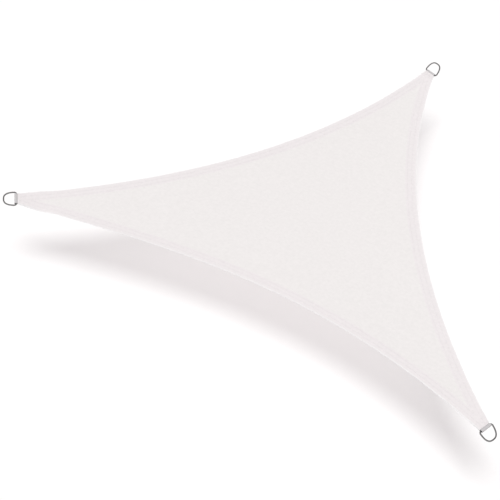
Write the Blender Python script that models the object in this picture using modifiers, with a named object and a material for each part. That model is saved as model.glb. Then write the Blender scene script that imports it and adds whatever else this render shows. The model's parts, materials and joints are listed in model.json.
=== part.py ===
"""Triangular shade sail: one hemmed cloth panel with a webbing loop and a steel D-ring at each corner.

Metres, +Z up.  The sail is stretched level between its three rings.  +X runs along the front edge from
the left ring to the right ring, and the far ring lies towards +Y.  The origin is the point inside the
left ring's bow where a hook or rope bears on it.
"""

from math import cos, pi, radians, sin, sqrt, tan

import bmesh
import bpy
from mathutils import Matrix, Vector

# Outline of the cloth, measured in its plane
SIDE = 2.000                # between two rings, from bar to bar
TIP_SETBACK = 0.005         # from a ring's bar to the end of the cloth
TIP_HALF_WIDTH = 0.0260     # half the width of the blunt corner
CENTRE_DROP = 0.012         # how far the middle hangs below the rings
EDGE_DROP_SHARE = 0.2       # share of that drop at the middle of an edge
TWIST_REACH = 0.160         # how far into the cloth a corner's twist runs out

# Thicknesses and widths of the cloth
PANEL_THICKNESS = 0.0015
HEM_THICKNESS = 0.0030      # the cloth with its folded hem
HEM_WIDTH = 0.045
HEM_STEP = 0.004            # over which the hem thins down to the panel
TIP_THICKNESS = 0.0062      # folded layers round the webbing
TIP_TAPER = 0.030           # over which the corner thins down to the hem
FOLD_RADIUS = 0.0011        # rounding of the folded edge
FOLD_SEGMENTS = 2

# D-ring, measured on the middle line of its wire
WIRE_RADIUS = 0.003
RING_HALF_WIDTH = 0.032
RING_DEPTH = 0.0495         # from the bar to the crown of the bow
RING_CORNER = 0.009         # bend between bar and bow
RING_SQUARENESS = 2.67      # exponent of the bow; 2 would be half an ellipse
BOW_POINTS = 25
CORNER_POINTS = 4

# Webbing loop
FIT_GAP = 0.0003            # between pieces that touch on the real sail
WEBBING_THICKNESS = 0.0014
WEBBING_HALF_WIDTH = 0.0243
LOOP_SLACK = 0.0033         # how much farther past the bar the loop reaches than a tight one would
LOOP_POINTS = 24            # round the bar
POCKET_DEPTH = 0.030        # from the end of the cloth to the bottom of the pocket
LOOP_NECK = TIP_SETBACK - FIT_GAP   # from the bar to where the loop's legs come together

# Mesh steps of the panel
THICK_END = POCKET_DEPTH + 0.008    # the corner keeps its full thickness up to here
NEAR_ROWS = (0.0, 0.018, THICK_END, THICK_END + TIP_TAPER, 0.105, 0.150)
EDGE_LENGTH = SIDE - 2 * TIP_SETBACK
HEM_TURN = 0.100            # over which the hem's columns turn from along the tip to square to the edge
FAR_ROW_COUNT = 12          # from the last near row to the middle of the edge
OPEN_COLUMN_COUNT = 5       # from the hem to the corner's centre line
HEM_SHARE_MAX = 0.80        # most of a half row that the hem takes where the two hems meet
MERGE = 0.00002

# Corner: place in units of the side, then in degrees how far its ring and blunt end are turned in the
# cloth's plane, how far they are twisted about the line of pull, and how far the ring is tipped up from it
CORNERS = {
    # name: (x, y, turn, twist, ring tilt)
    "left": (0.0, 0.0, 6.0, -9.0, 0.0),
    "far": (0.5, sqrt(3) / 2, -22.0, -4.0, 45.0),
    "right": (1.0, 0.0, 11.5, 1.0, -29.0),
}

# Edge: its two corners, how far its middle is cut in from the straight line, how far its deepest point
# leans towards the second corner, and how much fuller than a parabola it is towards its ends
EDGES = (
    # first, second, bow, lean, fullness
    ("left", "far", 0.1636, 0.053, 0.0),
    ("far", "right", 0.1539, -0.028, 0.0),
    ("left", "right", 0.1648, 0.208, -0.131),
)

UP = Vector((0, 0, 1))


def clear_scene():
    for old in list(bpy.data.objects):
        bpy.data.objects.remove(old, do_unlink=True)


def make_collection(name):
    group = bpy.data.collections.new(name)
    bpy.context.scene.collection.children.link(group)
    return group


def make_material(name, color, roughness, metallic=0.0):
    material = bpy.data.materials.new(name)
    material.use_nodes = True
    shader = material.node_tree.nodes["Principled BSDF"]
    shader.inputs["Base Color"].default_value = (*color, 1.0)
    shader.inputs["Roughness"].default_value = roughness
    shader.inputs["Metallic"].default_value = metallic
    return material


def add_object(name, data, group, material=None):
    piece = bpy.data.objects.new(name, data)
    group.objects.link(piece)
    if material:
        data.materials.append(material)
    return piece


# ---------------------------------------------------------------- plan of the sail

def middle(places):
    return sum(places, Vector((0, 0))) / len(places)


def plan_place(corner):
    return Vector(CORNERS[corner][:2])


def outward(corner):
    """Unit vector from the middle of the sail out through a corner."""
    return (plan_place(corner) - middle([plan_place(name) for name in CORNERS])).normalized()


def bar_centre(corner):
    """Middle of the ring's bar, with the inside of the left ring's bow at the origin."""
    left_pull = Matrix.Rotation(radians(CORNERS["left"][2]), 2) @ outward("left")
    return plan_place(corner) * SIDE - left_pull * (RING_DEPTH - WIRE_RADIUS)


def middle_of_sail():
    return middle([bar_centre(corner) for corner in CORNERS])


def corner_matrix(corner):
    """Frame at the middle of the ring's bar: x out of the sail, y along the bar, z up from the cloth."""
    _, _, turn, twist, _ = CORNERS[corner]
    out = outward(corner).to_3d()
    level = Matrix((out, UP.cross(out), UP)).transposed().to_4x4()
    turned = Matrix.Rotation(radians(turn), 4, "Z") @ Matrix.Rotation(radians(twist), 4, "X")
    return Matrix.Translation(bar_centre(corner).to_3d()) @ level @ turned


def tip_centre(corner):
    return (corner_matrix(corner) @ Vector((-TIP_SETBACK, 0, 0))).to_2d()


def tip_end(corner, neighbour):
    """End of the blunt corner on the side of the neighbouring corner."""
    across = (corner_matrix(corner).to_3x3() @ Vector((0, 1, 0))).to_2d()
    if across.dot(bar_centre(neighbour) - bar_centre(corner)) < 0:
        across.negate()
    return tip_centre(corner) + across * TIP_HALF_WIDTH


def edge_point(edge, share):
    """Point on an edge, and the direction into the cloth there."""
    first, second, depth, lean, fullness = edge
    start, end = tip_end(first, second), tip_end(second, first)
    chord = end - start
    inward = chord.orthogonal().normalized()
    if inward.dot(middle_of_sail() - start) < 0:
        inward.negate()
    along = 2 * share - 1
    shape = 1 + lean * along + fullness * along ** 2
    bow = depth * (1 - along ** 2) * shape
    slope = 2 * depth * ((1 - along ** 2) * (lean + 2 * fullness * along) - 2 * along * shape)
    tangent = chord + inward * slope
    normal = tangent.orthogonal().normalized()
    if normal.dot(inward) < 0:
        normal.negate()
    return start + chord * share + inward * bow, normal


def corner_edges(corner):
    """The two edges that leave a corner, each with True where the corner is its first one."""
    return [(edge, edge[0] == corner) for edge in EDGES if corner in edge[:2]]


def row_shares():
    """Places of the rows along an edge, from a corner to the edge's middle."""
    near = [run / EDGE_LENGTH for run in NEAR_ROWS]
    step = (0.5 - near[-1]) / FAR_ROW_COUNT
    return near + [near[-1] + step * count for count in range(1, FAR_ROW_COUNT + 1)]


def point_from_corner(side, share):
    """Edge point counted from the corner that the side belongs to."""
    edge, from_first = side
    return edge_point(edge, share if from_first else 1 - share)


def centre_line_point(corner, share):
    """Point on the line from a corner's tip to the middle of the sail."""
    sides = corner_edges(corner)
    here = middle([point_from_corner(side, share)[0] for side in sides])
    at_half = middle([point_from_corner(side, 0.5)[0] for side in sides])
    return here + (middle_of_sail() - at_half) * (2 * share) ** 2


# ---------------------------------------------------------------- cloth

def ramp(value, start, end):
    """0 before start, 1 past end, straight between them."""
    return min(1.0, max(0.0, (value - start) / (end - start)))


def cloth_thickness(from_edge, from_tip):
    """Thickest at the blunt corners, then the hem, then the open panel."""
    past_hem = ramp(from_edge, HEM_WIDTH, HEM_WIDTH + HEM_STEP)
    past_corner = ramp(from_tip, THICK_END, THICK_END + TIP_TAPER)
    hem = HEM_THICKNESS + (PANEL_THICKNESS - HEM_THICKNESS) * past_hem
    return TIP_THICKNESS + (hem - TIP_THICKNESS) * past_corner


def twist_height(corner, place, from_tip):
    """Height that the corner's twist gives to the cloth, full at the corner and fading out inwards."""
    across = (corner_matrix(corner).to_3x3() @ Vector((0, 1, 0))).to_2d().normalized()
    fading = (1 + cos(pi * ramp(from_tip, THICK_END + TIP_TAPER, TWIST_REACH))) / 2
    return tan(radians(CORNERS[corner][3])) * across.dot(place - tip_centre(corner)) * fading


def half_row(corner, side, share):
    """Points of one row, from the edge to the corner's centre line, each with its thickness."""
    start, square = point_from_corner(side, share)
    finish = centre_line_point(corner, share)
    reach = (finish - start).length
    inward = (finish - start).normalized().lerp(square, ramp(share * EDGE_LENGTH, 0, HEM_TURN)).normalized()
    hem_end = min(HEM_WIDTH, reach * HEM_SHARE_MAX)
    step_end = hem_end + min(HEM_STEP, (reach - hem_end) / 2)
    places = [start, start + inward * hem_end, start + inward * step_end]
    offsets = [0.0, hem_end, step_end]
    for count in range(1, OPEN_COLUMN_COUNT + 1):
        part = count / OPEN_COLUMN_COUNT
        places.append(places[2].lerp(finish, part))
        offsets.append(step_end + (reach - step_end) * part)
    from_tip = (tip_centre(corner) - finish).length
    drop_along = sin(pi * share) ** 2
    row = []
    for place, offset in zip(places, offsets):
        drop_across = EDGE_DROP_SHARE + (1 - EDGE_DROP_SHARE) * sin(pi / 2 * offset / reach)
        height = twist_height(corner, place, from_tip) - CENTRE_DROP * drop_along * drop_across
        row.append(((place.x, place.y, height), cloth_thickness(offset, from_tip)))
    return row


def make_cloth(group, material):
    """The panel's middle surface, thickened by Solidify with its hem and corners as a vertex group."""
    shell = bmesh.new()
    weight_layer = shell.verts.layers.deform.verify()
    for corner in CORNERS:
        for side in corner_edges(corner):
            rows = []
            for share in row_shares():
                row = []
                for place, thickness in half_row(corner, side, share):
                    vertex = shell.verts.new(place)
                    vertex[weight_layer][0] = thickness / TIP_THICKNESS
                    row.append(vertex)
                rows.append(row)
            for near, far in zip(rows, rows[1:]):
                for left in range(len(near) - 1):
                    shell.faces.new((near[left], near[left + 1], far[left + 1], far[left]))
    bmesh.ops.remove_doubles(shell, verts=shell.verts, dist=MERGE)
    for face in shell.faces:
        if face.normal.z < 0:
            face.normal_flip()
    mesh = bpy.data.meshes.new("sail_cloth")
    shell.to_mesh(mesh)
    shell.free()
    mesh.shade_smooth()

    cloth = add_object("sail_cloth", mesh, group, material)
    cloth.vertex_groups.new(name="thickness")
    solid = cloth.modifiers.new("thickness", "SOLIDIFY")
    solid.thickness = TIP_THICKNESS
    solid.offset = 0.0
    solid.vertex_group = "thickness"
    fold = cloth.modifiers.new("folded edge", "BEVEL")
    fold.limit_method = "ANGLE"
    fold.angle_limit = radians(50)
    fold.width = FOLD_RADIUS
    fold.segments = FOLD_SEGMENTS
    return cloth


def leg_slant(corner):
    """Shear that leads the webbing's legs along the corner's own line where the ring is turned in its loop."""
    slope = -tan(radians(CORNERS[corner][2]))
    return Matrix(((1, 0, 0, 0), (slope, 1, 0, slope * LOOP_NECK), (0, 0, 1, 0), (0, 0, 0, 1)))


def cut_pockets(cloth, cutters):
    """A flat slot in each corner of the cloth, for the webbing's legs."""
    past_tip = TIP_SETBACK / 2
    length = POCKET_DEPTH + past_tip
    centre = length / 2 - POCKET_DEPTH - TIP_SETBACK
    for corner in CORNERS:
        bpy.ops.mesh.primitive_cube_add(size=1)
        cutter = bpy.context.object
        cutter.name = "pocket_" + corner
        size = (length, 2 * (WEBBING_HALF_WIDTH + FIT_GAP), 2 * (WEBBING_THICKNESS + FIT_GAP))
        cutter.data.transform(leg_slant(corner) @ Matrix.Translation((centre, 0, 0)) @ Matrix.Diagonal((*size, 1)))
        cutter.matrix_world = corner_matrix(corner)
        for old_group in cutter.users_collection:
            old_group.objects.unlink(cutter)
        cutters.objects.link(cutter)
        cutter.hide_render = True
        cutter.display_type = "WIRE"
        cut = cloth.modifiers.new("pocket " + corner, "BOOLEAN")
        cut.operation = "DIFFERENCE"
        cut.solver = "EXACT"
        cut.object = cutter


# ---------------------------------------------------------------- rings and loops

def ring_outline():
    """Middle line of the wire: the bow from one side round to the other, then two bends and the bar."""
    points = []
    for count in range(BOW_POINTS):
        angle = -pi / 2 + pi * (count + 1) / (BOW_POINTS + 1)
        out = RING_DEPTH * cos(angle) ** (2 / RING_SQUARENESS)
        along = RING_HALF_WIDTH * abs(sin(angle)) ** (2 / RING_SQUARENESS)
        if out > RING_CORNER:
            points.append((out, along if angle > 0 else -along, 0))
    for side in (1, -1):
        bend = []
        for count in range(CORNER_POINTS + 1):
            angle = pi / 2 * count / CORNER_POINTS
            out = RING_CORNER * (1 - sin(angle))
            along = RING_HALF_WIDTH - RING_CORNER * (1 - cos(angle))
            bend.append((out, side * along, 0))
        points += bend if side > 0 else bend[::-1]
    return points


def ring_curve():
    wire = bpy.data.curves.new("d_ring", "CURVE")
    wire.dimensions = "3D"
    wire.bevel_depth = WIRE_RADIUS
    wire.bevel_resolution = 3
    outline = ring_outline()
    spline = wire.splines.new("POLY")
    spline.points.add(len(outline) - 1)
    for point, place in zip(spline.points, outline):
        point.co = (*place, 1)
    spline.use_cyclic_u = True
    spline.use_smooth = True
    return wire


def slack_place(radius, angle):
    """Place round the bar, with the half that lies inside the ring moved out by the loop's slack."""
    slack = LOOP_SLACK if cos(angle) > 0.001 else 0.0
    return radius * cos(angle) + slack, radius * sin(angle)


def loop_outline():
    """Section of the webbing: loosely round the bar, then both legs together into the cloth."""
    outer = WIRE_RADIUS + FIT_GAP + WEBBING_THICKNESS
    leg_end = TIP_SETBACK + POCKET_DEPTH - FIT_GAP
    leave = radians(50)
    points = [(-leg_end, -WEBBING_THICKNESS), (-LOOP_NECK, -WEBBING_THICKNESS)]
    for count in range(LOOP_POINTS + 1):
        angle = -(pi - leave) + 2 * (pi - leave) * count / LOOP_POINTS
        points.append(slack_place(outer, angle))
    points += [(-LOOP_NECK, WEBBING_THICKNESS), (-leg_end, WEBBING_THICKNESS)]
    return points


def eye_outline():
    """Hole through the webbing where the ring's bar lies."""
    radius = (WIRE_RADIUS + FIT_GAP) / cos(pi / LOOP_POINTS)
    return [slack_place(radius, 2 * pi * count / LOOP_POINTS) for count in range(LOOP_POINTS)]


def loop_curve():
    section = bpy.data.curves.new("corner_loop", "CURVE")
    section.dimensions = "2D"
    section.fill_mode = "BOTH"
    section.extrude = WEBBING_HALF_WIDTH
    for outline in (loop_outline(), eye_outline()):
        spline = section.splines.new("POLY")
        spline.points.add(len(outline) - 1)
        for point, place in zip(spline.points, outline):
            point.co = (*place, 0, 1)
        spline.use_cyclic_u = True
    return section


def loop_mesh(corner, group):
    """The loop stood across the bar, with its legs slanted past the neck."""
    guide = add_object("loop_section", loop_curve(), group)
    seen = guide.evaluated_get(bpy.context.evaluated_depsgraph_get())
    mesh = bpy.data.meshes.new_from_object(seen)
    bpy.data.objects.remove(guide, do_unlink=True)
    loop = bmesh.new()
    loop.from_mesh(mesh)
    bmesh.ops.remove_doubles(loop, verts=loop.verts, dist=MERGE)
    bmesh.ops.transform(loop, matrix=Matrix.Rotation(pi / 2, 4, "X"), verts=loop.verts)
    whole = loop.verts[:] + loop.edges[:] + loop.faces[:]
    bmesh.ops.bisect_plane(loop, geom=whole, dist=MERGE, plane_co=(-LOOP_NECK, 0, 0), plane_no=(1, 0, 0))
    legs = [vertex for vertex in loop.verts if vertex.co.x < -LOOP_NECK - MERGE]
    bmesh.ops.transform(loop, matrix=leg_slant(corner), verts=legs)
    loop.to_mesh(mesh)
    loop.free()
    mesh.shade_smooth()
    mesh.set_sharp_from_angle(angle=radians(40))
    return mesh


def make_corner_fittings(group, webbing, steel):
    """A loop and a ring at each corner; the three rings share one shape."""
    ring_shape = ring_curve()
    ring_shape.materials.append(steel)
    for corner, (*_, tilt) in CORNERS.items():
        place = corner_matrix(corner)
        ring = add_object("d_ring_" + corner, ring_shape, group)
        ring.matrix_world = place @ Matrix.Rotation(-radians(tilt), 4, "Y")
        loop = add_object("corner_loop_" + corner, loop_mesh(corner, group), group, webbing)
        loop.matrix_world = place


def main():
    clear_scene()
    sail = make_collection("shade_sail")
    cutters = make_collection("pocket_cutters")
    polyester = make_material("white polyester", (0.86, 0.83, 0.825), 0.85)
    webbing = make_material("grey webbing", (0.62, 0.60, 0.60), 0.80)
    steel = make_material("stainless steel", (0.44, 0.44, 0.44), 0.40, metallic=1.0)
    cloth = make_cloth(sail, polyester)
    cut_pockets(cloth, cutters)
    make_corner_fittings(sail, webbing, steel)


main()
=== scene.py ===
"""Looks of the shade sail: hemmed white polyester, sewn corners with webbing loops, and steel D-rings.

Metres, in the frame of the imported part.  The sail lies level, its front edge runs along +X from the left
ring to the right ring, the far ring lies towards +Y, and +Z is up.
"""

import json
from math import cos, exp, pi, radians, sin, tan

import bmesh
import bpy
from mathutils import Matrix, Vector


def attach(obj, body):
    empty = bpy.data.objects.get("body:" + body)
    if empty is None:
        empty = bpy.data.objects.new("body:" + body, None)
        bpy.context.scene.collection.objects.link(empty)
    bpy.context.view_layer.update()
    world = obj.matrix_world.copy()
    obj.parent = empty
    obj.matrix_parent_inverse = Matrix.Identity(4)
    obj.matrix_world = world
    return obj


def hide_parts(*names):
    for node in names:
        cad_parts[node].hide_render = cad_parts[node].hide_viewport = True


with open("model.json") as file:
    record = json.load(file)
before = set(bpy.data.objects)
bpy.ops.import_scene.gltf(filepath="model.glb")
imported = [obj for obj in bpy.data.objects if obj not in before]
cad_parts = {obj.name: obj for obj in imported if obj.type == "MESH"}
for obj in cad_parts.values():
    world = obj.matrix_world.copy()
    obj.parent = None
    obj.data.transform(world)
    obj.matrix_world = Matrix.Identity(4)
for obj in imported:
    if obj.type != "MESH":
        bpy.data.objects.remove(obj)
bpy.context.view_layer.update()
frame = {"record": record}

# Cloth, as in the solids
TIP_SETBACK = 0.005         # from a ring's bar to the end of the cloth
TIP_HALF_WIDTH = 0.0260
CENTRE_DROP = 0.012
EDGE_DROP_SHARE = 0.2       # of the drop on the corner's centre line
TWIST_REACH = 0.160         # how far into the cloth a corner's twist runs out
HEM_WIDTH = 0.045
HEM_TURN = 0.100            # the hem's rows turn from along the blunt corner to square to the edge
HEM_SHARE_MAX = 0.80        # most of a row's length that the hem's columns take up
POCKET_DEPTH = 0.030
THICK_END = POCKET_DEPTH + 0.008    # from a corner's end to where its extra layers start to thin out
TIP_TAPER = 0.030

# Half thicknesses of the cloth as it is shown, above and below its middle surface
PANEL_HALF = 0.0004
HEM_HALF_TOP = 0.0006
HEM_HALF_UNDER = 0.0011     # the turned-in layer lies underneath
TIP_HALF = 0.0028
TIP_SIDE_HALF = 0.0019      # at a corner's edges, which have fewer layers
POCKET_HALF = 0.0015        # of the hollow that takes the webbing
FOLD_ROUNDING = 0.9         # depth of the folded edge's rounding, in half thicknesses
FOLD_POINTS = 5
LIP_POINTS = 6              # round the mouth of a corner's pocket
LIP_RADIUS = 0.0007

# Where one thickness, height or colour runs into the next: start and end, as distances from the edge
TIP_SIDE_RUN = (0.0, 0.005)
HEM_TOP_RUN = (HEM_WIDTH - 0.002, HEM_WIDTH + 0.004)
HEM_UNDER_RUN = (HEM_WIDTH - 0.0008, HEM_WIDTH + 0.0008)
HEM_COLOR_RUN = (HEM_WIDTH - 0.001, HEM_WIDTH + 0.003)
# FOLD_HIGHLIGHT_RUN spreads the cloth's painted highlight in from the folded edge
FOLD_HIGHLIGHT_RUN = (0.001, 0.005)
PUCKER_START_RUN = (0.003, 0.016)
PUCKER_END_RUN = (0.040, 0.062)
PUCKER_CENTRE_RUN = (0.0, 0.015)    # from the corner's centre line

# Mesh columns of the hem, as distances from the edge, and of the open panel, as shares of what is left
HEM_COLUMNS = (0.004, 0.009, 0.0135, 0.0168, 0.019, 0.0212, 0.026, 0.0305, 0.0350, 0.0375, 0.0400,
               0.0425, 0.0444, 0.0454, 0.048, 0.053)
OPEN_COLUMNS = (0.08, 0.2, 0.36, 0.56, 0.78, 1.0)
HALF_EDGE_ROWS = 250
MERGE = 0.00005             # points closer than this become one

# Sewing
SEAM_ROWS = (0.019, 0.0375)     # the hem's two rows of stitches, from the edge
SEAM_WIDTH = 0.0026             # of the trough that the thread pulls into the cloth
SEAM_DEPTH = 0.00028
PUCKER_HEIGHT = 0.00030
PUCKER_LENGTHS = ((0.0208, 0.0), (0.0271, 1.9), (0.0163, 4.1))     # wave length, phase
PUCKER_EDGE_PHASE = 1.7         # from each edge to the next, so that their puckers differ
STITCH_PITCH = 0.0043
STITCH_LENGTH = 0.0036
STITCH_SMALLEST = (0.90, 0.85, 0.85)    # share of its length, width and height
STITCH_LARGEST = (1.06, 1.10, 1.10)
THREAD_WIDTH = 0.0009
THREAD_SUNK = 0.00012           # middle of the thread above the bottom of its trough
BOX_NEAR = 0.0040               # sewn box at a corner, from the end of the cloth
BOX_FAR = 0.0310
BOX_HALF_WIDTH = 0.0205

# D-ring, on the middle line of its wire
WIRE_RADIUS = 0.003
RING_HALF_WIDTH = 0.032
RING_DEPTH = 0.0495
RING_CORNER = 0.009
RING_SQUARENESS = 2.67
BOW_POINTS = 110
BEND_POINTS = 14
WIRE_SIDES = 20
WIRE_EVENING = 3                # passes that soften where the bow meets its bends

# Webbing loop
WEBBING_THICKNESS = 0.00135
WEBBING_HALF_WIDTH = 0.0243
FIT_GAP = 0.0003                # from the webbing to the bar, and to the sides and bottom of its pocket
LOOP_SLACK = 0.0033             # how much farther past the bar the loop reaches than a tight one would
LOOP_NECK = TIP_SETBACK - FIT_GAP       # from the bar to where the legs start to follow the corner's line
LOOP_LEAVE = 47.5               # from the cloth's side of the bar to the loop's round part, in degrees
LOOP_PAST = 0.001               # cosine above which a point of the loop counts as past the bar
LEG_GAP = 0.00002               # half of what is between the two legs
LEG_MIDDLE = 0.6                # share of a leg's reach from the bar at which its line has a point
LEG_LAST = 0.002                # from a leg's last point but one to the end of the cloth
LOOP_FADE = 0.013               # the webbing's legs, painted in shade, lighten towards its bend
CORD_COUNT = 20                 # ribs across the webbing
CORD_COLUMNS = 4
CORD_HEIGHT = 0.00010
SELVEDGE_SHARE = 0.4            # height of the webbing's sides, against its thickness
LOOP_STEPS = 72

# Looks
PANEL_COLOR = (0.86, 0.828, 0.82)
HEM_COLOR = (0.855, 0.810, 0.816)
# Painted highlight: a lighter colour where light catches the folded edge and the pockets' lips
FOLD_HIGHLIGHT_COLOR = (0.94, 0.925, 0.925)
SEAM_SHADE = 0.968              # painted shade of the cloth in the bottom of a seam's trough
CLOUD_SHADES = (0.948, 1.052)   # of the cloth's mottling
SLUB_SIZE = (0.0009, 0.030)     # width and length of a thicker run of thread
SLUB_SHADES = (0.985, 1.015)
CLOTH_PITCH = 0.00075           # of the threads in the cloth
PICK_PITCH = 0.0011             # of the threads across the webbing
PICK_SHADES = (0.90, 1.04)
BEND_PAINTED_LIGHT = 1.22               # painted light at the webbing's bend, against its legs' painted shade
WEAVE_GROOVE = 0.25             # between two threads, against how far they bulge

# Corner: how far its ring and blunt end are turned in the cloth's plane and twisted about the line of pull,
# and how far the ring is tipped up from it, in degrees
TURNS = {
    # name: (turn, twist, ring tilt)
    "left": (6.0, -9.0, 0.0),
    "far": (-22.0, -4.0, 45.0),
    "right": (11.5, 1.0, -29.0),
}

# Edge: its two corners, how far its middle is cut in from the straight line, and, as shares of that,
# how much the cut leans towards the second corner and how much fuller than a parabola its ends are
EDGES = (
    ("left", "far", 0.1636, 0.053, 0.0),
    ("far", "right", 0.1539, -0.028, 0.0),
    ("left", "right", 0.1648, 0.208, -0.131),
)

# Camera, fitted to the photo's three ring bars and edges
CAMERA_PLACE = (2.5210, -3.2403, 3.8395)
CAMERA_AIM = (0.9272, 0.3119, 0.0)
CAMERA_ROLL = 7.836
CAMERA_LENS = 102.50            # in millimetres, as is the sensor
CAMERA_SENSOR = 36.0

# Studio
FLOOR_HEIGHT = -0.247
FLOOR_SIZE = 60.0
FLOOR_COLOR = (0.49, 0.50, 0.495)
FLOOR_GLOW = (0.525, 0.495, 0.502)
SKY_STRENGTH = 0.30
KEY_STRENGTH = 2.35
KEY_SOFTNESS = 35.0             # angle that the light takes up, in degrees
KEY_SHIFT = (0.030, 0.013)      # how far the sail's shadow lies beside it on the floor

UP = Vector((0, 0, 1))


# ---------------------------------------------------------------- plan of the sail

def read_bars():
    """Middle of each ring's bar, from the part's mounts, which lie inside the rings' bows."""
    found = {}
    for mount in frame["record"]["mounts"]:
        bar = Vector(mount["pos_m"]) - Vector(mount["axis"]) * (RING_DEPTH - WIRE_RADIUS)
        found[mount["name"].removeprefix("ring_")] = bar.to_2d()
    return found


BARS = read_bars()
MIDDLE = sum(BARS.values(), Vector((0, 0))) / len(BARS)


def place_corner(name):
    """Frame at the middle of the ring's bar: x out of the sail, y along the bar, z up from the cloth."""
    turn, twist, _ = TURNS[name]
    out = (BARS[name] - MIDDLE).normalized().to_3d()
    level = Matrix((out, UP.cross(out), UP)).transposed().to_4x4()
    turned = Matrix.Rotation(radians(turn), 4, "Z") @ Matrix.Rotation(radians(twist), 4, "X")
    return Matrix.Translation(BARS[name].to_3d()) @ level @ turned


CORNERS = {name: place_corner(name) for name in BARS}


def tip_centre(name):
    return (CORNERS[name] @ Vector((-TIP_SETBACK, 0, 0))).to_2d()


def along_bar(name):
    return CORNERS[name].to_3x3() @ Vector((0, 1, 0))


def slant(name, out):
    """How far the webbing's legs have moved along the bar, where the ring is turned in its loop."""
    return tan(radians(TURNS[name][0])) * max(0.0, -LOOP_NECK - out)


def tip_end(name, neighbour):
    """End of the blunt corner on the side of the neighbouring corner."""
    across = along_bar(name).to_2d()
    if across.dot(BARS[neighbour] - BARS[name]) < 0:
        across.negate()
    return tip_centre(name) + across * TIP_HALF_WIDTH


def edge_point(edge, share):
    """Point on an edge, and the direction into the cloth there."""
    first, second, depth, lean, fullness = edge
    start, end = tip_end(first, second), tip_end(second, first)
    chord = end - start
    inward = chord.orthogonal().normalized()
    if inward.dot(MIDDLE - start) < 0:
        inward.negate()
    along = 2 * share - 1
    shape = 1 + lean * along + fullness * along ** 2
    bow = depth * (1 - along ** 2) * shape
    slope = 2 * depth * ((1 - along ** 2) * (lean + 2 * fullness * along) - 2 * along * shape)
    normal = (chord + inward * slope).orthogonal().normalized()
    if normal.dot(inward) < 0:
        normal.negate()
    return start + chord * share + inward * bow, normal


def edge_length(edge):
    return (tip_end(edge[1], edge[0]) - tip_end(edge[0], edge[1])).length


def corner_sides(name):
    """The two edges that leave a corner, each with True where the corner is its first one."""
    return [(edge, edge[0] == name) for edge in EDGES if name in edge[:2]]


def side_point(side, share):
    """Edge point counted from the corner that the side belongs to."""
    edge, from_first = side
    return edge_point(edge, share if from_first else 1 - share)


def centre_line_point(name, share):
    """Point on the line from a corner's tip to the middle of the sail."""
    sides = corner_sides(name)
    here = sum((side_point(side, share)[0] for side in sides), Vector((0, 0))) / 2
    at_half = sum((side_point(side, 0.5)[0] for side in sides), Vector((0, 0))) / 2
    return here + (MIDDLE - at_half) * (2 * share) ** 2


# ---------------------------------------------------------------- surface of the cloth

def ramp(value, start, end):
    return min(1.0, max(0.0, (value - start) / (end - start)))


def smooth(value, start, end):
    part = ramp(value, start, end)
    return part * part * (3 - 2 * part)


def blend(start, end, part):
    return start + (end - start) * part


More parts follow.
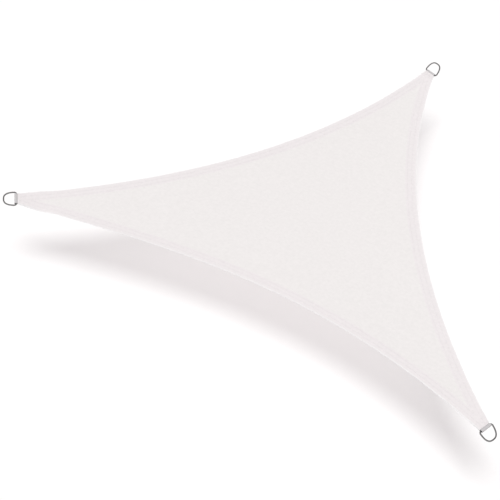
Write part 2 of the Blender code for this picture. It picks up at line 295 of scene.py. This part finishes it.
class Row:
    """One row of the cloth, from a point on the edge to the corner's centre line."""

    def __init__(self, name, side, share):
        edge, from_first = side
        self.start, square = side_point(side, share)
        self.finish = centre_line_point(name, share)
        self.reach = (self.finish - self.start).length
        run = share * edge_length(edge)
        along_tip = (self.finish - self.start).normalized()
        self.inward = along_tip.lerp(square, ramp(run, 0, HEM_TURN)).normalized()
        self.hem_end = min(HEM_COLUMNS[-1], self.reach * HEM_SHARE_MAX)
        reaches = [(self.finish - side_point(other, share)[0]).length for other in corner_sides(name)]
        self.shared_reach = sum(reaches) / 2
        self.tip = tip_centre(name)
        self.across = along_bar(name).to_2d().normalized()
        self.from_tip = (self.tip - self.finish).length
        self.drop = CENTRE_DROP * sin(pi * share) ** 2
        fading = (1 + cos(pi * ramp(self.from_tip, THICK_END + TIP_TAPER, TWIST_REACH))) / 2
        self.twist = tan(radians(TURNS[name][1])) * fading
        self.along = (share if from_first else 1 - share) * edge_length(edge)
        self.phase = PUCKER_EDGE_PHASE * EDGES.index(edge)

    def plan(self, offset):
        if offset <= self.hem_end:
            return self.start + self.inward * offset
        hem_point = self.start + self.inward * self.hem_end
        return hem_point.lerp(self.finish, (offset - self.hem_end) / (self.reach - self.hem_end))

    def offsets(self):
        """Distances of the mesh columns from the edge; they close up where two hems meet."""
        hem = [offset * self.hem_end / HEM_COLUMNS[-1] for offset in HEM_COLUMNS]
        return hem + [blend(self.hem_end, self.reach, part) for part in OPEN_COLUMNS]

    def from_edge(self, offset):
        """Distance from the edge, evened out towards the centre line so that the two sides meet there."""
        return offset + (self.shared_reach - self.reach) * ramp(offset, self.hem_end, self.reach)

    def halves(self, offset):
        """Thickness above and below the middle surface."""
        offset = self.from_edge(offset)
        corner = ramp(self.from_tip, THICK_END, THICK_END + TIP_TAPER)
        top = blend(HEM_HALF_TOP, PANEL_HALF, smooth(offset, *HEM_TOP_RUN))
        under = blend(HEM_HALF_UNDER, PANEL_HALF, smooth(offset, *HEM_UNDER_RUN))
        tip = blend(TIP_SIDE_HALF, TIP_HALF, smooth(offset, *TIP_SIDE_RUN))
        return blend(tip, top, corner), blend(tip, under, corner)

    def height(self, offset):
        """Middle surface: the sail's sag and the puckers that its seams pull into it."""
        drop = EDGE_DROP_SHARE + (1 - EDGE_DROP_SHARE) * sin(pi / 2 * offset / self.reach)
        window = smooth(offset, *PUCKER_START_RUN) * (1 - smooth(offset, *PUCKER_END_RUN))
        window *= smooth(self.reach - offset, *PUCKER_CENTRE_RUN)
        waves = sum(sin(2 * pi * self.along / length + turn + self.phase) for length, turn in PUCKER_LENGTHS)
        calm = smooth(self.from_tip, THICK_END, THICK_END + 2 * TIP_TAPER)
        across = self.across.dot(self.plan(offset) - self.tip)
        puckers = PUCKER_HEIGHT * waves / len(PUCKER_LENGTHS) * window * calm
        return self.twist * across - self.drop * drop + puckers

    def seam(self, offset):
        """1 in the bottom of a stitch row's trough."""
        return sum(exp(-((self.from_edge(offset) - row) / SEAM_WIDTH) ** 2) for row in SEAM_ROWS)

    def surface(self, offset, face):
        """Point on the top (face 1) or the underside (face -1), with how deep it lies in a seam."""
        half = self.halves(offset)[0 if face > 0 else 1]
        seam = self.seam(offset)
        place = self.plan(offset)
        return Vector((*place, self.height(offset) + face * (half - SEAM_DEPTH * seam))), seam

    def section(self):
        """Points round the row, each with its hem, fold and seam shares, the fold share placing a painted
        highlight and the seam share a painted shade: along the top from the centre line to the edge, round
        the folded edge, and back underneath."""
        top, under = [], []
        for offset in self.offsets():
            hem = 1 - smooth(offset, *HEM_COLOR_RUN)
            # The fold share places the painted highlight of the folded edge
            fold = 1 - smooth(offset, *FOLD_HIGHLIGHT_RUN)
            for face, points in ((1, top), (-1, under)):
                place, seam = self.surface(offset, face)
                points.append((place, hem, fold, seam))
        above, below = self.halves(0)
        half = (above + below) / 2
        depth = half * FOLD_ROUNDING
        middle = self.height(0) + (above - below) / 2
        rounding = []
        for count in range(FOLD_POINTS + 2):
            angle = pi * count / (FOLD_POINTS + 1)
            place = self.plan(depth * (1 - sin(angle)))
            rounding.append((Vector((*place, middle + half * cos(angle))), 1.0, 1.0, 0.0))
        return top[::-1] + rounding + under


def half_edge_shares(edge):
    """Places of the rows from a corner's lip to the edge's middle."""
    first = LIP_RADIUS / edge_length(edge)
    return [blend(first, 0.5, count / HALF_EDGE_ROWS) for count in range(HALF_EDGE_ROWS + 1)]


def clamp(value, limit):
    return min(limit, max(-limit, value))


def close_corner(shell, layers, name, loop):
    """Rounds the blunt end of a corner into the mouth of its pocket, and lines the pocket."""
    place = CORNERS[name]
    back = place.inverted()
    rings = [loop]
    outline = [back @ vertex.co for vertex in loop]
    inside = -TIP_SETBACK - LIP_RADIUS
    half_width = WEBBING_HALF_WIDTH + FIT_GAP
    mouth = [Vector((inside, clamp(point.y, half_width), clamp(point.z, POCKET_HALF)))
             for point in outline]
    # The lip's points take the fold share, so the painted highlight runs round the pocket's mouth
    for count in range(1, LIP_POINTS + 1):
        angle = pi * count / LIP_POINTS
        part = (1 - cos(angle)) / 2
        ring = [start.lerp(end, part) + Vector((LIP_RADIUS * sin(angle), 0, 0))
                for start, end in zip(outline, mouth)]
        rings.append([new_vertex(shell, layers, place @ point, 1.0, 1.0, 0.0) for point in ring])
    depth = -TIP_SETBACK - POCKET_DEPTH
    bottom = [Vector((depth, point.y + slant(name, depth), point.z)) for point in mouth]
    rings.append([new_vertex(shell, layers, place @ point, 1.0, 0.0, 0.0) for point in bottom])
    for near, far in zip(rings, rings[1:]):
        for count in range(len(loop)):
            following = (count + 1) % len(loop)
            shell.faces.new((near[count], near[following], far[following], far[count]))
    shell.faces.new(rings[-1])


def new_vertex(shell, layers, place, hem, fold, seam):
    vertex = shell.verts.new(place)
    vertex[layers["hem"]] = hem
    vertex[layers["fold"]] = fold
    vertex[layers["seam"]] = seam
    return vertex


def sail_cloth(material):
    """The hemmed panel as one closed sheet with its fold, seams, puckers and pockets."""
    shell = bmesh.new()
    # The fold and seam shares place the cloth's painted highlight and painted shade
    layers = {word: shell.verts.layers.float.new(word) for word in ("hem", "fold", "seam")}
    for name in CORNERS:
        ends = []
        for side in corner_sides(name):
            rows = []
            for share in half_edge_shares(side[0]):
                section = Row(name, side, share).section()
                rows.append([new_vertex(shell, layers, *point) for point in section])
            for near, far in zip(rows, rows[1:]):
                for count in range(len(near) - 1):
                    shell.faces.new((near[count], near[count + 1], far[count + 1], far[count]))
            ends.append(rows[0])
        close_corner(shell, layers, name, ends[0] + ends[1][-2:0:-1])
    bmesh.ops.remove_doubles(shell, verts=shell.verts, dist=MERGE)
    bmesh.ops.dissolve_degenerate(shell, edges=shell.edges, dist=MERGE / 10)
    # Where points of a pocket's mouth have become one, a sliver with an open side can be left
    slivers = [face for face in shell.faces if any(edge.is_boundary for edge in face.edges)]
    bmesh.ops.delete(shell, geom=slivers, context="FACES")
    bmesh.ops.recalc_face_normals(shell, faces=shell.faces)
    return finished(shell, "polyester_sail", material)


def finished(shell, name, material):
    """Mesh object from a bmesh, smooth and with its material."""
    mesh = bpy.data.meshes.new(name)
    shell.to_mesh(mesh)
    shell.free()
    mesh.shade_smooth()
    mesh.materials.append(material)
    return new_object(name, mesh)


def new_object(name, data):
    made = bpy.data.objects.new(name, data)
    bpy.context.scene.collection.objects.link(made)
    return made


# ---------------------------------------------------------------- sewing

def hem_lines(face):
    """The two stitch rows along each edge, on the top or the underside."""
    lines = []
    for name in CORNERS:
        for side in corner_sides(name):
            for offset in SEAM_ROWS:
                line = []
                for share in half_edge_shares(side[0])[1:]:
                    row = Row(name, side, share)
                    if offset < row.reach - THREAD_WIDTH:
                        line.append(row.surface(offset, face)[0] + UP * face * THREAD_SUNK)
                lines.append(line)
    return lines


def corner_lines(face):
    """The box and its two diagonals through the webbing at each corner."""
    near, far, wide = -TIP_SETBACK - BOX_NEAR, -TIP_SETBACK - BOX_FAR, BOX_HALF_WIDTH
    level = face * (TIP_HALF + THREAD_SUNK)
    corners = ((near, wide), (far, wide), (far, -wide), (near, -wide))
    strokes = (0, 1), (1, 2), (2, 3), (3, 0), (0, 2), (1, 3)
    lines = []
    for name in CORNERS:
        place = CORNERS[name]
        spots = [place @ Vector((out, across + slant(name, out), level)) for out, across in corners]
        for start, end in strokes:
            lines.append([spots[start], spots[end]])
    return lines


def line_object(name, lines):
    """A curve object of open polylines."""
    curve = bpy.data.curves.new(name, "CURVE")
    curve.dimensions = "3D"
    for line in lines:
        spline = curve.splines.new("POLY")
        spline.points.add(len(line) - 1)
        for point, place in zip(spline.points, line):
            point.co = (*place, 1)
    return new_object(name, curve)


def stitch_tree():
    """Geometry nodes: one plump stitch after another along each line."""
    tree = bpy.data.node_groups.new("stitches along lines", "GeometryNodeTree")
    face = tree.interface
    face.new_socket("Geometry", in_out="INPUT", socket_type="NodeSocketGeometry")
    for word in ("Pitch", "Stitch length", "Thread width"):
        face.new_socket(word, in_out="INPUT", socket_type="NodeSocketFloat")
    face.new_socket("Seed", in_out="INPUT", socket_type="NodeSocketInt")
    face.new_socket("Thread", in_out="INPUT", socket_type="NodeSocketMaterial")
    face.new_socket("Geometry", in_out="OUTPUT", socket_type="NodeSocketGeometry")
    given = tree.nodes.new("NodeGroupInput").outputs
    lines = new_node(tree, "GeometryNodeResampleCurve",
                     {"Curve": given["Geometry"], "Length": given["Pitch"]}, mode="LENGTH")
    tangent = new_node(tree, "GeometryNodeInputTangent")
    turn = new_node(tree, "FunctionNodeAlignRotationToVector", {"Vector": tangent.outputs[0]},
                    axis="X", pivot_axis="Z")
    size = new_node(tree, "ShaderNodeCombineXYZ",
                    {"X": given["Stitch length"], "Y": given["Thread width"], "Z": given["Thread width"]})
    bead = new_node(tree, "GeometryNodeMeshIcoSphere", {"Radius": 0.5, "Subdivisions": 1})
    stitch = new_node(tree, "GeometryNodeTransform",
                      {"Geometry": bead.outputs["Mesh"], "Scale": size.outputs[0]})
    vary = new_node(tree, "FunctionNodeRandomValue",
                    {"Min": STITCH_SMALLEST, "Max": STITCH_LARGEST, "Seed": given["Seed"]},
                    data_type="FLOAT_VECTOR")
    rows = new_node(tree, "GeometryNodeInstanceOnPoints",
                    {"Points": lines.outputs[0], "Instance": stitch.outputs[0],
                     "Rotation": turn.outputs[0], "Scale": vary.outputs[0]})
    real = new_node(tree, "GeometryNodeRealizeInstances", {"Geometry": rows.outputs[0]})
    round_off = new_node(tree, "GeometryNodeSetShadeSmooth", {"Geometry": real.outputs[0]})
    dyed = new_node(tree, "GeometryNodeSetMaterial",
                    {"Geometry": round_off.outputs[0], "Material": given["Thread"]})
    new_node(tree, "NodeGroupOutput", {"Geometry": dyed.outputs[0]})
    return tree


def with_nodes(source, tree, values):
    """Plain mesh object of what a geometry node tree makes from the source, which is then removed."""
    modifier = source.modifiers.new("nodes", "NODES")
    modifier.node_group = tree
    for item in tree.interface.items_tree:
        if item.item_type == "SOCKET" and item.in_out == "INPUT" and item.name in values:
            modifier[item.identifier] = values[item.name]
    graph = bpy.context.evaluated_depsgraph_get()
    mesh = bpy.data.meshes.new_from_object(source.evaluated_get(graph))
    name = source.name
    bpy.data.objects.remove(source)
    mesh.name = name
    return new_object(name, mesh)


def stitches(thread):
    """All stitches of the top, and all of the underside."""
    tree = stitch_tree()
    pieces = []
    for name, face, seed in (("stitches_top", 1, 3), ("stitches_underside", -1, 8)):
        source = line_object(name, hem_lines(face) + corner_lines(face))
        pieces.append(with_nodes(source, tree, {
            "Pitch": STITCH_PITCH, "Stitch length": STITCH_LENGTH, "Thread width": THREAD_WIDTH,
            "Seed": seed, "Thread": thread}))
    return pieces


# ---------------------------------------------------------------- rings and loops

def sweep(name, path, outline, material, closed):
    """Tube or strip through the path's (point, side, up) frames; outline gives (along side, along up)."""
    shell = bmesh.new()
    strip = shell.loops.layers.uv.new("strip")
    rings = []
    for place, side, up in path:
        rings.append([shell.verts.new(place + side * across + up * rise) for across, rise in outline])
    pairs = list(zip(rings, rings[1:]))
    if closed:
        pairs.append((rings[-1], rings[0]))
    run = 0.0
    for near, far in pairs:
        step = (far[0].co - near[0].co).length
        for count in range(len(outline)):
            following = (count + 1) % len(outline)
            face = shell.faces.new((near[count], near[following], far[following], far[count]))
            corners = ((count, run), (following, run), (following, run + step), (count, run + step))
            for loop, (column, distance) in zip(face.loops, corners):
                loop[strip].uv = (outline[column][0], distance)
        run += step
    if not closed:
        shell.faces.new(rings[0])
        shell.faces.new(rings[-1])
    bmesh.ops.recalc_face_normals(shell, faces=shell.faces)
    return finished(shell, name, material)


def ring_outline():
    """Middle line of the wire: the bow from one side round to the other, then two bends and the bar."""
    points = []
    for count in range(BOW_POINTS):
        angle = -pi / 2 + pi * (count + 1) / (BOW_POINTS + 1)
        out = RING_DEPTH * cos(angle) ** (2 / RING_SQUARENESS)
        along = RING_HALF_WIDTH * abs(sin(angle)) ** (2 / RING_SQUARENESS)
        if out > RING_CORNER:
            points.append(Vector((out, along if angle > 0 else -along, 0)))
    for side in (1, -1):
        bend = []
        for count in range(BEND_POINTS + 1):
            angle = pi / 2 * count / BEND_POINTS
            out = RING_CORNER * (1 - sin(angle))
            along = RING_HALF_WIDTH - RING_CORNER * (1 - cos(angle))
            bend.append(Vector((out, side * along, 0)))
        points += bend if side > 0 else bend[::-1]
    return points


def evened(points, passes):
    """The closed line with each point drawn to the middle of its neighbours."""
    for _ in range(passes):
        points = [(points[count - 1] + points[count] * 2 + points[(count + 1) % len(points)]) / 4
                  for count in range(len(points))]
    return points


def d_ring(name, material):
    _, _, tilt = TURNS[name]
    place = CORNERS[name] @ Matrix.Rotation(-radians(tilt), 4, "Y")
    line = [place @ point for point in evened(ring_outline(), WIRE_EVENING)]
    up = (place.to_3x3() @ UP).normalized()
    path = []
    for count, point in enumerate(line):
        ahead = (line[(count + 1) % len(line)] - line[count - 1]).normalized()
        path.append((point, ahead.cross(up), up))
    angles = [2 * pi * count / WIRE_SIDES for count in range(WIRE_SIDES)]
    wire = [(WIRE_RADIUS * cos(angle), WIRE_RADIUS * sin(angle)) for angle in angles]
    return sweep("ring_wire_" + name, path, wire, material, closed=True)


def webbing_outline():
    """Section of the webbing: woven cords side by side, and rounded selvedges."""
    half = WEBBING_THICKNESS / 2
    columns = CORD_COUNT * CORD_COLUMNS
    face = []
    for count in range(1, columns):
        across = -WEBBING_HALF_WIDTH + 2 * WEBBING_HALF_WIDTH * count / columns
        groove = CORD_HEIGHT * (1 + cos(2 * pi * count / CORD_COLUMNS)) / 2
        face.append((across, half - groove))
    side = half * SELVEDGE_SHARE
    return ([(-WEBBING_HALF_WIDTH, -side), (-WEBBING_HALF_WIDTH, side)] + face
            + [(WEBBING_HALF_WIDTH, side), (WEBBING_HALF_WIDTH, -side)]
            + [(across, -rise) for across, rise in reversed(face)])


def webbing_line():
    """Middle line of the webbing from the side: along the lower leg, loosely round the bar, and back."""
    radius = WIRE_RADIUS + FIT_GAP + WEBBING_THICKNESS / 2
    leg = WEBBING_THICKNESS / 2 + LEG_GAP
    leg_end = TIP_SETBACK + POCKET_DEPTH - FIT_GAP
    leave = radians(LOOP_LEAVE)
    leg_places = (-leg_end, -leg_end * LEG_MIDDLE, -TIP_SETBACK - LEG_LAST, -TIP_SETBACK)
    points = [(out, -leg) for out in leg_places]
    for count in range(LOOP_STEPS + 1):
        angle = -(pi - leave) + 2 * (pi - leave) * count / LOOP_STEPS
        slack = LOOP_SLACK if cos(angle) > LOOP_PAST else 0.0
        points.append((radius * cos(angle) + slack, radius * sin(angle)))
    return points + [(out, leg) for out in reversed(leg_places)]


def webbing_length():
    line = [Vector(point) for point in webbing_line()]
    return sum((far - near).length for near, far in zip(line, line[1:]))


def webbing_loop(name, material):
    place = CORNERS[name]
    line = [Vector((out, 0, rise)) for out, rise in webbing_line()]
    path = []
    for count, point in enumerate(line):
        ahead = (line[min(count + 1, len(line) - 1)] - line[max(count - 1, 0)]).normalized()
        up = place.to_3x3() @ ahead.cross(Vector((0, 1, 0)))
        path.append((place @ Vector((point.x, slant(name, point.x), point.z)), along_bar(name), up))
    return sweep("webbing_" + name, path, webbing_outline(), material, closed=False)


# ---------------------------------------------------------------- materials

def new_node(tree, kind, inputs=None, **settings):
    """A node with its settings, and a value or a link for each named input."""
    made = tree.nodes.new(kind)
    for word, value in settings.items():
        setattr(made, word, value)
    for key, value in (inputs or {}).items():
        socket = matching_input(made, key)
        if isinstance(value, bpy.types.NodeSocket):
            tree.links.new(value, socket)
        else:
            socket.default_value = value
    return made


def matching_input(made, key):
    """The node's enabled input of that name or number."""
    if isinstance(key, int):
        return made.inputs[key]
    return next(socket for socket in made.inputs if socket.name == key and socket.enabled)


def new_material(name, color, roughness, metallic=0.0):
    material = bpy.data.materials.new(name)
    material.use_nodes = True
    shader = material.node_tree.nodes["Principled BSDF"]
    shader.inputs["Base Color"].default_value = (*color, 1)
    shader.inputs["Roughness"].default_value = roughness
    shader.inputs["Metallic"].default_value = metallic
    return material, material.node_tree, shader


def math(tree, operation, first, second=0.0, third=0.0, clamp=False):
    return new_node(tree, "ShaderNodeMath", {0: first, 1: second, 2: third},
                    operation=operation, use_clamp=clamp).outputs[0]


def mixed(tree, factor, first, second, kind="MIX"):
    """Colour between two colours, or one times the other; 6 and 7 are the node's two colour sockets."""
    return new_node(tree, "ShaderNodeMix", {0: factor, 6: first, 7: second},
                    data_type="RGBA", blend_type=kind).outputs[2]


def shaded(tree, color, shade):
    """The colour times a value that is 1 where it stays as it is."""
    grey = new_node(tree, "ShaderNodeCombineColor", {"Red": shade, "Green": shade, "Blue": shade})
    return mixed(tree, 1.0, color, grey.outputs[0], "MULTIPLY")


def object_place(tree):
    """Where a point lies on its piece, in metres."""
    return new_node(tree, "ShaderNodeTexCoord").outputs["Object"]


def noise(tree, place, size, detail=2.0):
    """Soft noise whose lumps are about size metres across."""
    return new_node(tree, "ShaderNodeTexNoise",
                    {"Vector": place, "Scale": 1 / size, "Detail": detail}).outputs[0]


def between(tree, value, low, high):
    """A 0 to 1 value spread from low to high."""
    return new_node(tree, "ShaderNodeMapRange",
                    {"Value": value, "To Min": low, "To Max": high}).outputs[0]


def bumpy(tree, shader, height, strength, distance):
    """Shows a height as relief; a height of 1 stands for the distance, in metres."""
    bump = new_node(tree, "ShaderNodeBump", {"Height": height, "Strength": strength, "Distance": distance})
    tree.links.new(bump.outputs[0], shader.inputs["Normal"])


def attribute(tree, name):
    return new_node(tree, "ShaderNodeAttribute", attribute_name=name).outputs["Fac"]


def plain_weave(tree, first, second, pitch):
    """Height of crossing threads: squares that bulge or dip in turn, with a groove between threads."""
    sines, cosines = [], []
    for run in (first, second):
        sines.append(math(tree, "SINE", math(tree, "MULTIPLY", run, pi / pitch)))
        cosines.append(math(tree, "COSINE", math(tree, "MULTIPLY", run, 2 * pi / pitch)))
    cross = math(tree, "MULTIPLY", sines[0], sines[1])
    grooves = math(tree, "ADD", cosines[0], cosines[1])
    return math(tree, "MULTIPLY_ADD", grooves, -WEAVE_GROOVE, cross)


def polyester():
    """White woven polyester: fine weave, faint mottling, a slightly pinker hem, and painted light and shade:
    shade in the bottom of the seams' troughs and a highlight along the fold.
    """
    material, tree, shader = new_material("white polyester", PANEL_COLOR, roughness=0.82)
    place = object_place(tree)
    panel = mixed(tree, attribute(tree, "hem"), (*PANEL_COLOR, 1), (*HEM_COLOR, 1))
    # Painted shade in the bottom of each seam's trough, broken up along the rows by noise
    pull = between(tree, noise(tree, place, size=0.009, detail=1.0), low=-1.1, high=2.1)
    seam_shade_mask = math(tree, "MULTIPLY", attribute(tree, "seam"), pull, clamp=True)
    sewn = shaded(tree, panel, between(tree, seam_shade_mask, 1.0, SEAM_SHADE))
    # Painted highlight along the folded edge
    fold_highlighted = mixed(tree, attribute(tree, "fold"), sewn, (*FOLD_HIGHLIGHT_COLOR, 1))
    uneven = between(tree, noise(tree, place, size=0.012, detail=3.0), *CLOUD_SHADES)
    for size in (SLUB_SIZE, SLUB_SIZE[::-1]):
        slubs = between(tree, noise(tree, stretched(tree, place, size), size=1.0), *SLUB_SHADES)
        uneven = math(tree, "MULTIPLY", uneven, slubs)
    tree.links.new(shaded(tree, fold_highlighted, uneven), shader.inputs["Base Color"])
    rough = between(tree, noise(tree, place, size=0.02), low=0.76, high=0.88)
    tree.links.new(rough, shader.inputs["Roughness"])
    flat = new_node(tree, "ShaderNodeSeparateXYZ", {0: place}).outputs
    weave = plain_weave(tree, flat["X"], flat["Y"], CLOTH_PITCH)
    bumpy(tree, shader, weave, strength=0.5, distance=0.00006)
    shader.inputs["Sheen Weight"].default_value = 0.08
    shader.inputs["Specular IOR Level"].default_value = 0.25
    return material


def stretched(tree, place, size):
    """Object coordinates in units of size along x and y, for lumps longer one way than the other."""
    scale = (1 / size[0], 1 / size[1], 1 / size[0])
    return new_node(tree, "ShaderNodeMapping", {"Vector": place, "Scale": scale}).outputs[0]


def sewing_thread():
    """Twisted polyester thread, painted a little darker than the cloth as shade along the stitch rows."""
    material, tree, shader = new_material("sewing thread", (0.82, 0.785, 0.79), roughness=0.6)
    ply = noise(tree, object_place(tree), size=0.0006)
    color = mixed(tree, ply, (0.79, 0.755, 0.76, 1), (0.85, 0.815, 0.82, 1))
    tree.links.new(color, shader.inputs["Base Color"])
    bumpy(tree, shader, ply, strength=0.4, distance=0.0001)
    return material


def webbing_cloth():
    """Light grey webbing with picks across its cords, its legs painted in shade and lighter at its bend."""
    material, tree, shader = new_material("grey webbing", (0.62, 0.60, 0.605), roughness=0.75)
    strip = new_node(tree, "ShaderNodeUVMap", uv_map="strip").outputs[0]
    run = new_node(tree, "ShaderNodeSeparateXYZ", {0: strip}).outputs
    picks = plain_weave(tree, run["X"], run["Y"], PICK_PITCH)
    cloudy = noise(tree, object_place(tree), size=0.004, detail=3.0)
    tone = mixed(tree, cloudy, (0.57, 0.55, 0.56, 1), (0.66, 0.64, 0.645, 1))
    # Painted light and shade: lighter at the bend, the legs by the bar darker as if in shade
    from_bend = math(tree, "ABSOLUTE", math(tree, "SUBTRACT", run["Y"], webbing_length() / 2))
    leg = math(tree, "MULTIPLY", from_bend, 1 / LOOP_FADE, clamp=True)
    painted_bend_light = between(tree, leg, BEND_PAINTED_LIGHT, 1.0)
    shade = math(tree, "MULTIPLY", between(tree, picks, *PICK_SHADES), painted_bend_light)
    tree.links.new(shaded(tree, tone, shade), shader.inputs["Base Color"])
    bumpy(tree, shader, picks, strength=0.6, distance=0.00012)
    shader.inputs["Sheen Weight"].default_value = 0.15
    return material


def stainless_wire():
    """Polished stainless wire with drawing marks and slight smudges."""
    steel = (0.435, 0.435, 0.435)
    material, tree, shader = new_material("stainless wire", steel, roughness=0.40, metallic=1.0)
    place = object_place(tree)
    smudges = noise(tree, place, size=0.010, detail=4.0)
    color = mixed(tree, smudges, (0.40, 0.40, 0.40, 1), (0.47, 0.47, 0.465, 1))
    tree.links.new(color, shader.inputs["Base Color"])
    tree.links.new(between(tree, smudges, low=0.34, high=0.48), shader.inputs["Roughness"])
    marks = noise(tree, place, size=0.0012)
    bumpy(tree, shader, marks, strength=0.15, distance=0.00005)
    return material


# ---------------------------------------------------------------- studio

def studio_floor():
    """Pale floor below the sail, bright enough to print white outside the sail's shadow."""
    shell = bmesh.new()
    bmesh.ops.create_grid(shell, x_segments=1, y_segments=1, size=FLOOR_SIZE / 2,
                          matrix=Matrix.Translation((0, 0, FLOOR_HEIGHT)))
    material, _, shader = new_material("studio floor", FLOOR_COLOR, roughness=1.0)
    shader.inputs["Specular IOR Level"].default_value = 0.0
    shader.inputs["Emission Color"].default_value = (*FLOOR_GLOW, 1)
    shader.inputs["Emission Strength"].default_value = 1.0
    floor = finished(shell, "studio_floor", material)


def studio_light():
    """Even sky light, white where the camera sees it, and one large soft light almost straight above, which
    the rings don't mirror."""
    world = bpy.data.worlds.new("studio")
    world.use_nodes = True
    tree = world.node_tree
    sky = tree.nodes["Background"]
    seen = new_node(tree, "ShaderNodeLightPath").outputs["Is Camera Ray"]
    tree.links.new(between(tree, seen, SKY_STRENGTH, 1.0), sky.inputs["Strength"])
    sky.inputs["Color"].default_value = (1, 1, 1, 1)
    bpy.context.scene.world = world

    lamp = bpy.data.lights.new("key", "SUN")
    lamp.energy = KEY_STRENGTH
    lamp.angle = radians(KEY_SOFTNESS)
    key = new_object("key", lamp)
    key.visible_glossy = False
    towards = Vector((-KEY_SHIFT[0], -KEY_SHIFT[1], -FLOOR_HEIGHT))
    key.rotation_euler = towards.to_track_quat("Z", "Y").to_euler()


def photo_camera():
    camera = new_object("camera", bpy.data.cameras.new("camera"))
    camera.data.lens = CAMERA_LENS
    camera.data.sensor_width = CAMERA_SENSOR
    view = Vector(CAMERA_AIM) - Vector(CAMERA_PLACE)
    level = view.to_track_quat("-Z", "Y").to_matrix().to_4x4()
    camera.matrix_world = (Matrix.Translation(CAMERA_PLACE) @ level
                           @ Matrix.Rotation(radians(CAMERA_ROLL), 4, "Z"))
    bpy.context.scene.camera = camera
    bpy.context.scene.view_settings.view_transform = "Standard"


# ---------------------------------------------------------------- assembly

def main():
    photo_camera()
    studio_light()
    studio_floor()

    steel, webbing = stainless_wire(), webbing_cloth()
    for name in CORNERS:
        ring = d_ring(name, steel)
        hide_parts("d_ring_" + name)
        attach(ring, "root")
        loop = webbing_loop(name, webbing)
        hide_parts("corner_loop_" + name)
        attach(loop, "root")

    for rows in stitches(sewing_thread()):
        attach(rows, "root")

    sail = sail_cloth(polyester())
    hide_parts("sail_cloth")
    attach(sail, "root")


main()
